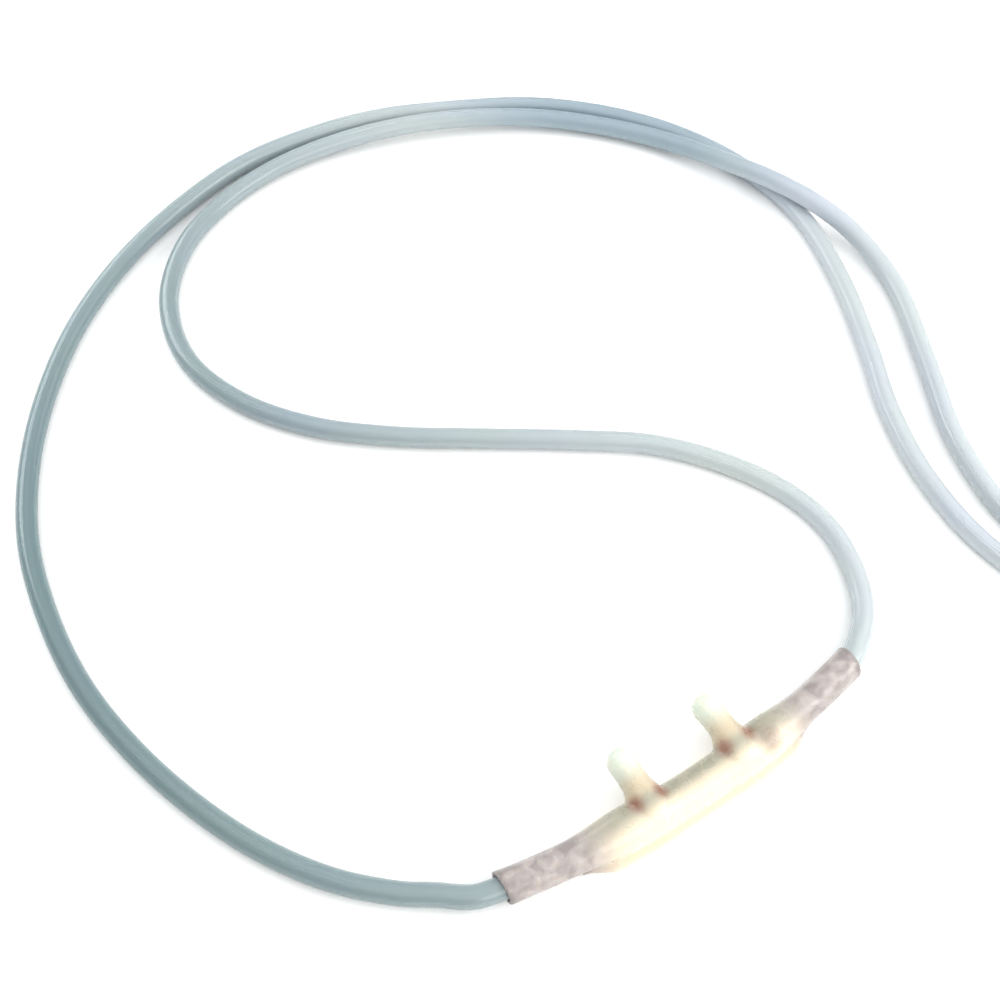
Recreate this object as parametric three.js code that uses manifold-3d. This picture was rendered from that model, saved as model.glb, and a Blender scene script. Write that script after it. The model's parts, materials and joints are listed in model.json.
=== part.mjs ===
// Nasal oxygen cannula, lying unheld on a flat surface. Millimetres, +Z up.
// The frame's origin is the middle of the nosepiece's flat underside, the face that
// lies on the wearer's upper lip. +X runs along the nosepiece, +Y is where the two
// prongs point, and the surface that everything lies on is Z = 0.
import * as THREE from 'three';
import { mergeVertices } from 'three/addons/utils/BufferGeometryUtils.js';
import Module from 'manifold-3d';

const wasm = await Module();
wasm.setup();

// Driving dimensions: tubing
const branchDiameter = 3.8;      // the two tubes of the head loop
const supplyDiameter = 5.0;      // the single tube to the oxygen source
const clearance = 0.3;           // between a tube and what it is pushed into
const branchSides = 8;
const supplySides = 10;
const branchStep = 11.4;         // length of one step of a head-loop tube's solid
const supplyStep = 9;

// Driving dimensions: nosepiece
const socketEnd = 34.5;           // half length of the nosepiece, to its socket mouths
const socketDepth = 10.5;        // how far a tube is pushed in
const socketWall = 0.5;
const socketAxisHeight = 2.7;    // height of the tube's axis in its socket
const bow = 0.003;               // the body's axis is the parabola y = bow * x * x
const waistRadius = 3.3;         // body between the prongs
const shoulderRadius = 3.6;      // body at the outer side of each prong
const waistHalfLength = 4;
const shoulderStart = 9;
const shoulderStop = 13;
const neckAt = 24;               // where the body has come down to its socket's size
const channelRadius = 1.6;       // gas passage through the body
const flatSink = 0.35;           // how much of the body's round the flat underside takes off
const lipReach = 1.0;            // how far the lip stands out in front of the body
const lipThickness = 0.8;
const lipFull = 18;              // half length of the lip at its full reach
const lipStop = 22;              // half length where the lip has run out
const bodySides = 20;
const bodySteps = 31;

// Driving dimensions: prongs
const prongSpacing = 17.2;
const prongReach = 10.9;         // tip, in front of the body's axis
const prongTipHeight = 5.6;
const prongStartLift = 0.5;      // how far above the sockets' axis a prong's curve starts
const prongRise = 6.6;           // height that the prong's curve aims at
const prongAim = 4.8;            // distance from the axis at which it aims there
const prongToeIn = 0.3;          // the tips lean towards each other by this much
const prongRootRadius = 3.4;
const prongNeckRadius = 2.3;
const prongTipRadius = 2.4;
const prongRimRadius = 1.7;
const prongBoreRadius = 1.3;
const prongSides = 14;
const prongEdgeSwell = 0.15;     // how full the rounding of the tip's edge is
const prongStops = {             // places along a prong's curve, from 0 to 1
  rootEnd: 0.16, middle: 0.28, neck: 0.42, neckEnd: 0.62, tip: 0.8, tipEnd: 0.91, rounding: 0.97,
};
const prongBoreSteps = 4;
const bodyHoleSteps = 12;
const socketSteps = 3;
const cutPast = 1;               // how far a cut is carried on into the open

// Driving dimensions: the pair of tubes, its slide adjuster and its Y connector
const pairY = -13;
const pairHeight = 3.7;
const pairSpacing = 5.2;
const adjusterStart = 133;
const adjusterLength = 12;
const sleeveWall = 0.9;
const edgeRound = 0.6;
const connectorStart = 148;
const connectorLength = 24;
const branchSocketDepth = 9;
const supplySocketDepth = 9;
const passageRadius = 1.3;
const sleeveSides = 20;

// Driving dimensions: coil of the supply tube and the funnel on its end
const coilInner = 20;            // innermost turn, at the tube's axis
const coilPitch = 5.05;
const coilStepsOut = 4;          // pitches from the innermost to the outermost turn
const coilLayers = 2;
const coilCentreY = 37;
const coilSide = 210;            // X of the outermost turn, where the tube joins and leaves
const funnelStart = 80;
const funnelLength = 34;
const funnelSocketDepth = 10;
const funnelNeckRadius = 3.8;
const funnelGripRadius = 4.2;
const funnelMouthRadius = 5.0;
const funnelBoreRadius = 3.6;    // at the mouth
const funnelBoreTaper = 0.3;     // how much narrower the bore is at its bottom
const funnelBoreDepth = 14;
const funnelSides = 20;
const funnelGripRun = 2;         // slope from the neck to the grip, before the bore's bottom
const funnelGripPast = 3;        // how far the grip runs on past the bore's bottom
const funnelRim = 4;             // length of the mouth's full radius
const coilRingSides = 40;

// Values that follow from those above
const branchRadius = branchDiameter / 2;
const supplyRadius = supplyDiameter / 2;
const socketRadius = branchRadius + clearance + socketWall;
const coilOuter = coilInner + coilPitch * coilStepsOut;
const coilCentreX = coilSide - coilOuter;
const coilRingOuter = coilOuter + coilPitch / 2 + clearance / 4;
const coilRingInner = coilInner - coilPitch / 2;
const coilHeight = coilPitch * coilLayers;
const connectorEnd = connectorStart + connectorLength;
const funnelHeight = funnelMouthRadius;

// Where the supply tube, at the coil's side, comes within the clearance of the ring
const ringReach = coilRingOuter + clearance;
const ringInnerSide = coilOuter - supplyRadius;
const ringGap = Math.sqrt(ringReach * ringReach - ringInnerSide * ringInnerSide);

// Points that the two head-loop tubes follow, from nosepiece to Y connector
const leftRoute = [
  [-24, 1.7, 2.7], [-29, 2.5, 2.7], [-34.5, 3.6, 2.7], [-38.6, 4.8, 2.6],
  [-43.1, 8.3, 2.2], [-47.6, 11.6, 1.95], [-55.2, 19.2, 1.95], [-62, 29.5, 1.95],
  [-67.3, 41.4, 1.95], [-71.2, 54.5, 1.95], [-73.4, 68.7, 1.95], [-73.1, 83.1, 1.95],
  [-70.1, 99.4, 1.95], [-63.7, 114.5, 1.95], [-54.4, 128.5, 1.95], [-42.2, 141.4, 1.95],
  [-27.5, 151.7, 1.95], [-11.5, 158.8, 1.95], [4.5, 162.9, 1.95], [20.3, 162.7, 1.95],
  [36.1, 159.5, 1.95], [51.3, 152.8, 1.95], [66, 144.4, 1.95], [78.2, 133, 1.95],
  [87.2, 119.7, 1.95], [92.8, 104.1, 1.95], [93.9, 87.2, 1.95], [89.4, 69.5, 1.95],
  [81.9, 52.1, 1.95], [75.4, 39, 1.95], [70.8, 24.5, 1.95], [69.6, 8.5, 1.95],
  [73, -4.4, 2.2], [82, -12.8, 2.8], [94.5, -15.5, 3.4], [107, -15.6, 3.7],
  [128, -15.6, 3.7], [148, -15.6, 3.7], [157, -15.6, 3.7],
];
const rightRoute = [
  [24, 1.7, 2.7], [34.5, 3.6, 2.7], [38.3, 5.7, 2.5], [41.8, 8.4, 2.2],
  [45, 12.4, 1.95], [47.7, 18.4, 1.95], [49.1, 25.9, 1.95], [47.9, 34.8, 1.95],
  [42.9, 45.7, 1.95], [34.2, 56.8, 1.95], [23.2, 65.3, 1.95], [9, 75.1, 1.95],
  [-5.1, 85, 1.95], [-16.3, 95.1, 1.95], [-24.6, 107.4, 1.95], [-28.4, 121.9, 1.95],
  [-24.9, 137, 1.95], [-15.4, 148.7, 1.95], [-3.3, 155.1, 1.95], [10.2, 157.9, 2.15],
  [24.7, 156.9, 2.7], [39.5, 152.8, 3.2], [53.3, 146.6, 3.2], [65.9, 138.5, 2.8],
  [76.6, 127.9, 2.7], [84, 116.8, 3.3], [88.6, 104.9, 5], [92.1, 94.8, 6.3],
  [95.5, 85.8, 5.8], [98.5, 76.8, 3.5], [97.4, 62.5, 2.05], [89.5, 44.5, 1.95],
  [80.9, 26.6, 1.95], [77.4, 7.8, 1.95], [81.2, -2.4, 2.2], [89.5, -8.9, 2.9],
  [99.5, -10.4, 3.5], [108.5, -10.4, 3.7], [128, -10.4, 3.7], [157, -10.4, 3.7],
];

// Points that the supply tube follows on either side of its coil
const leadRoute = [
  [163, -13, 3.7], [172, -13, 3.7], [179, -13, 3.6], [186, -13, 3.2],
  [195.2, -11.2, 2.8], [203, -6, 2.5], [208.2, 1.8, 2.5], [210, 11, 2.5],
  [coilSide, coilCentreY - ringGap, supplyRadius],
];
const tailRoute = [
  [coilSide, coilCentreY + ringGap, 6.2], [210, 64, 5.6], [210, 72, 5.15],
  [210, 80, 5], [210, 90, 5],
];

// Shape helpers
function smooth(from, to, value) {
  return THREE.MathUtils.smoothstep(value, from, to);
}

// A closed solid through rings of points, each ring turning the same way, ends capped.
function loft(rings) {
  const count = rings[0].length;
  const positions = rings.flat().flatMap((point) => [point.x, point.y, point.z]);
  const faces = [];
  for (let r = 0; r + 1 < rings.length; r += 1) {
    for (let i = 0; i < count; i += 1) {
      const a = r * count + i;
      const b = r * count + ((i + 1) % count);
      faces.push(a, b, b + count, a, b + count, a + count);
    }
  }
  const lastRing = (rings.length - 1) * count;
  for (let i = 1; i + 1 < count; i += 1) {
    faces.push(0, i + 1, i);
    faces.push(lastRing, lastRing + i, lastRing + i + 1);
  }
  const geometry = new THREE.BufferGeometry();
  geometry.setAttribute('position', new THREE.Float32BufferAttribute(positions, 3));
  geometry.setIndex(faces);
  return geometry;
}

// A round ring about a point, square to the direction given, seen with Z as its up.
function roundRing(centre, direction, radius, sides) {
  const vertical = new THREE.Vector3(0, 0, 1);
  const across = new THREE.Vector3().crossVectors(vertical, direction).normalize();
  const up = new THREE.Vector3().crossVectors(direction, across).normalize();
  return Array.from({ length: sides }, (_, i) => {
    const angle = (2 * Math.PI * (i + 0.5)) / sides;
    return centre.clone()
      .addScaledVector(across, radius * Math.cos(angle))
      .addScaledVector(up, radius * Math.sin(angle));
  });
}

// A tapering round solid along a curve; each stop is a place on it and a radius there.
function taperedTube(curve, stops, sides) {
  return loft(stops.map(([at, radius]) => (
    roundRing(curve.getPoint(at), curve.getTangent(at), radius, sides))));
}

// A hole keeps its full radius between its corners.
function holeRadius(radius, sides) {
  return radius / Math.cos(Math.PI / sides);
}

function straightHole(from, to, radius, sides) {
  const line = new THREE.LineCurve3(new THREE.Vector3(...from), new THREE.Vector3(...to));
  const full = holeRadius(radius, sides);
  return taperedTube(line, [[0, full], [1, full]], sides);
}

// A plain length of tubing through a list of points.
function tubing(route, radius, sides, step) {
  const curve = new THREE.CatmullRomCurve3(route.map((point) => new THREE.Vector3(...point)));
  const outline = new THREE.Shape(Array.from({ length: sides }, (_, i) => {
    const angle = (2 * Math.PI * i) / sides;
    return new THREE.Vector2(radius * Math.cos(angle), radius * Math.sin(angle));
  }));
  const steps = Math.round(curve.getLength() / step);
  return new THREE.ExtrudeGeometry(outline, { steps, extrudePath: curve, bevelEnabled: false });
}

// Booleans
function toSolid(geometry) {
  const bare = geometry.clone();
  bare.deleteAttribute('normal');
  bare.deleteAttribute('uv');
  const merged = mergeVertices(bare, 1e-4);
  const mesh = new wasm.Mesh({
    numProp: 3,
    vertProperties: new Float32Array(merged.attributes.position.array),
    triVerts: new Uint32Array(merged.index.array),
  });
  return new wasm.Manifold(mesh);
}

function toGeometry(solid) {
  const mesh = solid.getMesh();
  const geometry = new THREE.BufferGeometry();
  geometry.setAttribute('position', new THREE.BufferAttribute(mesh.vertProperties, 3));
  geometry.setIndex(new THREE.BufferAttribute(mesh.triVerts, 1));
  geometry.computeVertexNormals();
  return geometry;
}

function joinAndCut(joined, cuts) {
  let solid = toSolid(joined[0]);
  joined.slice(1).forEach((geometry) => {
    solid = solid.add(toSolid(geometry));
  });
  cuts.forEach((geometry) => {
    solid = solid.subtract(toSolid(geometry));
  });
  return toGeometry(solid);
}

// Nosepiece: bowed soft body with a flat underside, a front lip and two curved prongs
function bodyAxisY(x) {
  return bow * x * x;
}

function bodyRadius(x) {
  const out = Math.abs(x);
  const swell = smooth(waistHalfLength, shoulderStart, out);
  const fall = smooth(shoulderStop, neckAt, out);
  const body = THREE.MathUtils.lerp(waistRadius, shoulderRadius, swell);
  return THREE.MathUtils.lerp(body, socketRadius, fall);
}

function bodyRing(x) {
  const radius = bodyRadius(x);
  const middle = 1 - smooth(shoulderStop, neckAt, Math.abs(x));
  const lip = 1 - smooth(lipFull, lipStop, Math.abs(x));
  const roundHeight = radius * Math.cos(Math.PI / bodySides);
  const height = THREE.MathUtils.lerp(socketAxisHeight, roundHeight - flatSink, middle);
  const front = -(radius + lipReach);
  const lipPoints = new Map([
    [11, [-(radius + lipReach / 2), height / 2]],
    [12, [front, lipThickness]],
    [13, [front + lipThickness / 4, 0]],
    [14, [-radius / 2, 0]],
  ]);
  return Array.from({ length: bodySides }, (_, i) => {
    const angle = (2 * Math.PI * (i + 0.5)) / bodySides;
    let y = radius * Math.cos(angle);
    let z = Math.max(0, height + radius * Math.sin(angle));
    if (lipPoints.has(i)) {
      const [lipY, lipZ] = lipPoints.get(i);
      y = THREE.MathUtils.lerp(y, lipY, lip);
      z = THREE.MathUtils.lerp(z, lipZ, lip);
    }
    return new THREE.Vector3(x, bodyAxisY(x) + y, z);
  });
}

function bodyLoft() {
  return loft(Array.from({ length: bodySteps + 1 }, (_, i) => (
    bodyRing(THREE.MathUtils.lerp(-socketEnd, socketEnd, i / bodySteps)))));
}

function prongCurve(side) {
  const x = (side * prongSpacing) / 2;
  const tipX = x - side * prongToeIn;
  return new THREE.QuadraticBezierCurve3(
    new THREE.Vector3(x, bodyAxisY(x), socketAxisHeight + prongStartLift),
    new THREE.Vector3(x, prongAim, prongRise),
    new THREE.Vector3(tipX, prongReach, prongTipHeight),
  );
}

function prong(side) {
  const middleRadius = (prongRootRadius + prongNeckRadius) / 2;
  const edgeRadius = (prongTipRadius + prongRimRadius) / 2 + prongEdgeSwell;
  const at = prongStops;
  return taperedTube(prongCurve(side), [
    [0, prongRootRadius], [at.rootEnd, prongRootRadius], [at.middle, middleRadius],
    [at.neck, prongNeckRadius], [at.neckEnd, prongNeckRadius], [at.tip, prongTipRadius],
    [at.tipEnd, prongTipRadius], [at.rounding, edgeRadius], [1, prongRimRadius],
  ], prongSides);
}

function prongBore(side) {
  const radius = holeRadius(prongBoreRadius, prongSides);
  const curve = prongCurve(side);
  const rings = Array.from({ length: prongBoreSteps + 1 }, (_, i) => {
    const at = i / prongBoreSteps;
    return roundRing(curve.getPoint(at), curve.getTangent(at), radius, prongSides);
  });
  const past = curve.getPoint(1).addScaledVector(curve.getTangent(1), cutPast);
  rings.push(roundRing(past, curve.getTangent(1), radius, prongSides));
  return loft(rings);
}

// The passage between the sockets, following the bow.
function bodyHole(from, to, radius, steps) {
  const full = holeRadius(radius, bodySides);
  return loft(Array.from({ length: steps + 1 }, (_, i) => {
    const x = THREE.MathUtils.lerp(from, to, i / steps);
    const centre = new THREE.Vector3(x, bodyAxisY(x), socketAxisHeight);
    return roundRing(centre, new THREE.Vector3(1, 2 * bow * x, 0), full, bodySides);
  }));
}

function nosepiece() {
  const shoulder = socketEnd - socketDepth - clearance;
  const past = socketEnd + cutPast;
  const bore = branchRadius + clearance;
  return joinAndCut(
    [bodyLoft(), prong(-1), prong(1)],
    [
      bodyHole(-shoulder - cutPast, shoulder + cutPast, channelRadius, bodyHoleSteps),
      bodyHole(-past, -shoulder, bore, socketSteps),
      bodyHole(shoulder, past, bore, socketSteps),
      prongBore(-1),
      prongBore(1),
    ],
  );
}

// Slide adjuster and Y connector: sleeves of one oval section that may change along X
function sleeveRing(x, halfSpacing, radius) {
  return Array.from({ length: sleeveSides }, (_, i) => {
    const angle = (2 * Math.PI * (i + 0.5)) / sleeveSides;
    const y = Math.sign(Math.cos(angle)) * halfSpacing + radius * Math.cos(angle);
    return new THREE.Vector3(x, pairY + y, pairHeight + radius * Math.sin(angle));
  });
}

const sleeveRadius = branchRadius + clearance + sleeveWall;
const pairSides = [-pairSpacing / 2, pairSpacing / 2];

function slideAdjuster() {
  const stop = adjusterStart + adjusterLength;
  const half = pairSpacing / 2;
  const outer = loft([
    sleeveRing(adjusterStart, half, sleeveRadius - edgeRound / 2),
    sleeveRing(adjusterStart + edgeRound, half, sleeveRadius),
    sleeveRing(stop - edgeRound, half, sleeveRadius),
    sleeveRing(stop, half, sleeveRadius - edgeRound / 2),
  ]);
  return joinAndCut([outer], pairSides.map((side) => straightHole(
    [adjusterStart - cutPast, pairY + side, pairHeight],
    [stop + cutPast, pairY + side, pairHeight],
    branchRadius + clearance,
    sleeveSides,
  )));
}

function yConnector() {
  const half = pairSpacing / 2;
  const supplySleeve = supplyRadius + clearance + sleeveWall;
  const branchStop = connectorStart + branchSocketDepth + clearance;
  const supplyStop = connectorEnd - supplySocketDepth - clearance;
  const outer = loft([
    sleeveRing(connectorStart, half, sleeveRadius - edgeRound / 2),
    sleeveRing(connectorStart + edgeRound, half, sleeveRadius),
    sleeveRing(branchStop, half, sleeveRadius),
    sleeveRing(supplyStop, half / 4, supplySleeve),
    sleeveRing(supplyStop + 1, half / 8, supplySleeve),
    sleeveRing(connectorEnd - edgeRound, half / 8, supplySleeve),
    sleeveRing(connectorEnd, half / 8, supplySleeve - edgeRound / 2),
  ]);
  const sockets = pairSides.map((side) => straightHole(
    [connectorStart - cutPast, pairY + side, pairHeight],
    [branchStop, pairY + side, pairHeight],
    branchRadius + clearance,
    sleeveSides,
  ));
  const passages = pairSides.map((side) => straightHole(
    [branchStop - cutPast, pairY + side, pairHeight],
    [supplyStop + cutPast, pairY + side / 4, pairHeight],
    passageRadius,
    branchSides,
  ));
  const supplySocket = straightHole(
    [supplyStop, pairY, pairHeight],
    [connectorEnd + cutPast, pairY, pairHeight],
    supplyRadius + clearance,
    sleeveSides,
  );
  return joinAndCut([outer], [...sockets, ...passages, supplySocket]);
}

// Supply tube's coil, as one ring of its outer shape
function supplyCoil() {
  const profile = [
    [coilRingInner, 0], [coilRingOuter, 0],
    [coilRingOuter, coilHeight], [coilRingInner, coilHeight], [coilRingInner, 0],
  ];
  const outline = profile.map((point) => new THREE.Vector2(...point));
  const ring = new THREE.LatheGeometry(outline, coilRingSides);
  ring.rotateX(Math.PI / 2);
  ring.translate(coilCentreX, coilCentreY, 0);
  return ring;
}

// Funnel that pushes onto the oxygen source's spigot, turned about Y
function endConnector() {
  const mouth = funnelLength;
  const boreEnd = funnelLength - funnelBoreDepth;
  const socketBottom = funnelSocketDepth + clearance;
  const socketBore = holeRadius(supplyRadius + clearance, funnelSides);
  const profile = [
    [socketBore, 0], [funnelNeckRadius - edgeRound / 2, 0], [funnelNeckRadius, edgeRound],
    [funnelNeckRadius, socketBottom + funnelGripRun], [funnelGripRadius, boreEnd - funnelGripRun],
    [funnelGripRadius, boreEnd + funnelGripPast], [funnelMouthRadius, mouth - funnelRim],
    [funnelMouthRadius, mouth], [funnelBoreRadius, mouth],
    [funnelBoreRadius - funnelBoreTaper, boreEnd], [passageRadius, boreEnd],
    [passageRadius, socketBottom], [socketBore, socketBottom], [socketBore, 0],
  ];
  const outline = profile.map((point) => new THREE.Vector2(...point));
  const funnel = new THREE.LatheGeometry(outline, funnelSides);
  funnel.translate(coilSide, funnelStart, funnelHeight);
  return funnel;
}

// The object
const softClear = new THREE.MeshStandardMaterial({ color: 0xece3d3, roughness: 0.35, metalness: 0 });
const tubeClear = new THREE.MeshStandardMaterial({ color: 0xb4c6cb, roughness: 0.25, metalness: 0 });
const moulded = new THREE.MeshStandardMaterial({ color: 0xdfe6e6, roughness: 0.3, metalness: 0 });

function piece(name, geometry, material) {
  const mesh = new THREE.Mesh(geometry, material);
  mesh.name = name;
  return mesh;
}

const cannula = new THREE.Group();
cannula.add(
  piece('nosepiece', nosepiece(), softClear),
  piece('left_tube', tubing(leftRoute, branchRadius, branchSides, branchStep), tubeClear),
  piece('right_tube', tubing(rightRoute, branchRadius, branchSides, branchStep), tubeClear),
  piece('slide_adjuster', slideAdjuster(), moulded),
  piece('y_connector', yConnector(), moulded),
  piece('supply_tube', tubing(leadRoute, supplyRadius, supplySides, supplyStep), tubeClear),
  piece('supply_coil', supplyCoil(), tubeClear),
  piece('supply_tail', tubing(tailRoute, supplyRadius, supplySides, supplyStep), tubeClear),
  piece('end_connector', endConnector(), moulded),
);

export default cannula;
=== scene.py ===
# %% [markdown]
# # A nasal oxygen cannula
# A cannula carries oxygen to the nose. A soft nosepiece with two hollow prongs rests on
# the upper lip, and two thin tubes run from its ends round the head. They meet in a Y
# connector, with a slide adjuster in front of it, and one long supply tube goes on to the
# funnel that is pushed onto the oxygen source.
#
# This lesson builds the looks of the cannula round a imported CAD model. The model says
# where everything is, so each piece is made at its real place and size, in metres.

import json
import math

import bmesh
import bpy
import numpy as np
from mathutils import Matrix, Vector

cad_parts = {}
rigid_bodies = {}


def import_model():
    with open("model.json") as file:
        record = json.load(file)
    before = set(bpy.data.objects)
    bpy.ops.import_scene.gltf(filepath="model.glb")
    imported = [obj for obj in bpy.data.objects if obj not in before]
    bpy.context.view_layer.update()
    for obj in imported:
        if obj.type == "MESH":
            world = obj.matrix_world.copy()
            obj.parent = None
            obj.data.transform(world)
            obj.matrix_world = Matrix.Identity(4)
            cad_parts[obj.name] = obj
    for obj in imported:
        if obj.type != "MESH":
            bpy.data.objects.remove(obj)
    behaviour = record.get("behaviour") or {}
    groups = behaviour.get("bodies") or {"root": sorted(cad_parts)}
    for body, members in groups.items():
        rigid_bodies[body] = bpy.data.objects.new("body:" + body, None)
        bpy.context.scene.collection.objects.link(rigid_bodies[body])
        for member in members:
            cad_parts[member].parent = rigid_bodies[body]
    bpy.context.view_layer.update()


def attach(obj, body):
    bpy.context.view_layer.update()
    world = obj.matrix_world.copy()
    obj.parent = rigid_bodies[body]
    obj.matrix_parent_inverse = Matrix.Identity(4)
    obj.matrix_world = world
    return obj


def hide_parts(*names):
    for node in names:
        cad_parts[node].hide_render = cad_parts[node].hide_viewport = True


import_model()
MM = 0.001

# %% [markdown]
# ## The camera
# The tubes were laid out as a photograph shows them, so the camera comes first. It looks
# down at 57 degrees from a hand's breadth away. That angle and distance set how much the
# near tubes look thicker than the far ones.

# %% Camera
CAMERA_PLACE = Vector((-70.1, -50.4, 209.7)) * MM
CAMERA_TARGET = Vector((4.62, 63.36, 0)) * MM
bpy.ops.object.camera_add(
    location=CAMERA_PLACE,
    rotation=(CAMERA_TARGET - CAMERA_PLACE).to_track_quat("-Z", "Y").to_euler(),
)
camera = bpy.context.object
camera.name = "photo_camera"
camera.data.sensor_width = 36
camera.data.lens = 50
camera.data.clip_start = 0.01
bpy.context.scene.camera = camera
print("camera distance, mm:", round((CAMERA_TARGET - CAMERA_PLACE).length / MM))

# %% [markdown]
# ## The tubes
# The real tubes are extruded from clear soft vinyl and lie where they fall. A curve with
# a round bevel would be quick, but it has no wall, and clear plastic only looks right
# when light passes an outer and an inner skin. So each tube is a mesh with a hole through
# it, made of rings that follow a smooth line.
#
# The line passes through the same points as the CAD model's, with a centripetal
# Catmull-Rom curve, which makes no loops or sharp bends between uneven points.

# %% A smooth line through a route
def smooth_line(route, step):
    """Points a step apart on the smooth curve through the points of a route."""
    knots = np.array(route, float)
    knots = np.vstack([2 * knots[0] - knots[1], knots, 2 * knots[-1] - knots[-2]])
    share = np.linspace(0, 1, 24, endpoint=False)[:, None]
    curve = []
    for a, b, c, d in zip(knots, knots[1:], knots[2:], knots[3:]):
        first, middle, last = (
            np.linalg.norm(q - p) ** 0.5 for p, q in ((a, b), (b, c), (c, d))
        )
        leave = (b - a) / first - (c - a) / (first + middle) + (c - b) / middle
        reach = (c - b) / middle - (d - b) / (middle + last) + (d - c) / last
        leave, reach = leave * middle, reach * middle
        square = 3 * (c - b) - 2 * leave - reach
        cube = 2 * (b - c) + leave + reach
        curve.append(b + leave * share + square * share**2 + cube * share**3)
    return even_line(np.vstack([*curve, knots[-2:-1]]), step)


def even_line(points, step):
    """The same line with its points a step apart."""
    pieces = np.linalg.norm(np.diff(points, axis=0), axis=1)
    along = np.concatenate([[0], np.cumsum(pieces)])
    places = np.linspace(0, along[-1], round(along[-1] / step) + 1)
    return np.stack([np.interp(places, along, points[:, k]) for k in range(3)], 1)


def line_length(line):
    return float(np.linalg.norm(np.diff(line, axis=0), axis=1).sum())


# %% A hollow tube round a line
def hollow_tube(name, line, radius, bore):
    """A tube round a line of points. bore lists the hole's radius at each side of it."""
    sides = len(bore)
    ahead = np.gradient(line, axis=0)
    ahead /= np.linalg.norm(ahead, axis=1)[:, None]
    up, ups = np.array([0.0, 0.0, 1.0]), []
    for direction in ahead:
        up = up - (up @ direction) * direction
        up /= np.linalg.norm(up)
        ups.append(up)
    across = np.cross(ahead, ups)
    angle = 2 * math.pi * np.arange(sides) / sides
    out = across[:, None] * np.cos(angle)[None, :, None]
    out = out + np.array(ups)[:, None] * np.sin(angle)[None, :, None]
    skin = line[:, None] + out * radius
    hole = line[:, None] + out * np.array(bore)[None, :, None]
    points = np.stack([skin, hole], 1).reshape(-1, 3)

    def corner(ring, layer, side):
        return (ring * 2 + layer) * sides + side % sides

    faces = []
    last = len(line) - 1
    for side in range(sides):
        for ring in range(last):
            for layer, (near, far) in enumerate(((0, 1), (1, 0))):
                faces.append((
                    corner(ring, layer, side + near), corner(ring + 1, layer, side + near),
                    corner(ring + 1, layer, side + far), corner(ring, layer, side + far),
                ))
        for ring, (near, far) in ((0, (0, 1)), (last, (1, 0))):
            faces.append((
                corner(ring, 0, side + near), corner(ring, 0, side + far),
                corner(ring, 1, side + far), corner(ring, 1, side + near),
            ))
    mesh = bpy.data.meshes.new(name)
    mesh.from_pydata(points.tolist(), [], faces)
    mesh.shade_smooth()
    tube = bpy.data.objects.new(name, mesh)
    bpy.context.scene.collection.objects.link(tube)
    mark_along(mesh, line, radius, angle)
    return tube


def mark_along(mesh, line, radius, angle):
    """Gives each point its place on the tube: two numbers round it and one along it."""
    pieces = np.linalg.norm(np.diff(line, axis=0), axis=1)
    along = np.concatenate([[0], np.cumsum(pieces)])
    place = np.zeros((len(line), 2, len(angle), 3), np.float32)
    place[..., 0] = radius * np.cos(angle)
    place[..., 1] = radius * np.sin(angle)
    place[..., 2] = along[:, None, None]
    marks = mesh.attributes.new("place_on_tube", "FLOAT_VECTOR", "POINT")
    marks.data.foreach_set("vector", place.ravel())


# %% [markdown]
# ### The two tubes of the head loop
# They are 3.8 mm thick with a 2.3 mm bore. Each starts inside a socket of the nosepiece,
# and the right one bends back in an S and then rides over the left one in a low hump.

# %% Head-loop tubes
BRANCH_RADIUS = 1.9 * MM
BRANCH_BORE = 1.15 * MM
ROUND_SIDES = 24
LEFT_ROUTE = [
    (-24, 1.7, 2.7), (-29, 2.5, 2.7), (-34.5, 3.6, 2.7), (-38.6, 4.8, 2.6),
    (-43.1, 8.3, 2.2), (-47.6, 11.6, 1.95), (-55.2, 19.2, 1.95), (-62, 29.5, 1.95),
    (-67.3, 41.4, 1.95), (-71.2, 54.5, 1.95), (-73.4, 68.7, 1.95), (-73.1, 83.1, 1.95),
    (-70.1, 99.4, 1.95), (-63.7, 114.5, 1.95), (-54.4, 128.5, 1.95), (-42.2, 141.4, 1.95),
    (-27.5, 151.7, 1.95), (-11.5, 158.8, 1.95), (4.5, 162.9, 1.95), (20.3, 162.7, 1.95),
    (36.1, 159.5, 1.95), (51.3, 152.8, 1.95), (66, 144.4, 1.95), (78.2, 133, 1.95),
    (87.2, 119.7, 1.95), (92.8, 104.1, 1.95), (93.9, 87.2, 1.95), (89.4, 69.5, 1.95),
    (81.9, 52.1, 1.95), (75.4, 39, 1.95), (70.8, 24.5, 1.95), (69.6, 8.5, 1.95),
    (73, -4.4, 2.2), (82, -12.8, 2.8), (94.5, -15.5, 3.4), (107, -15.6, 3.7),
    (128, -15.6, 3.7), (148, -15.6, 3.7), (157, -15.6, 3.7),
]
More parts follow.
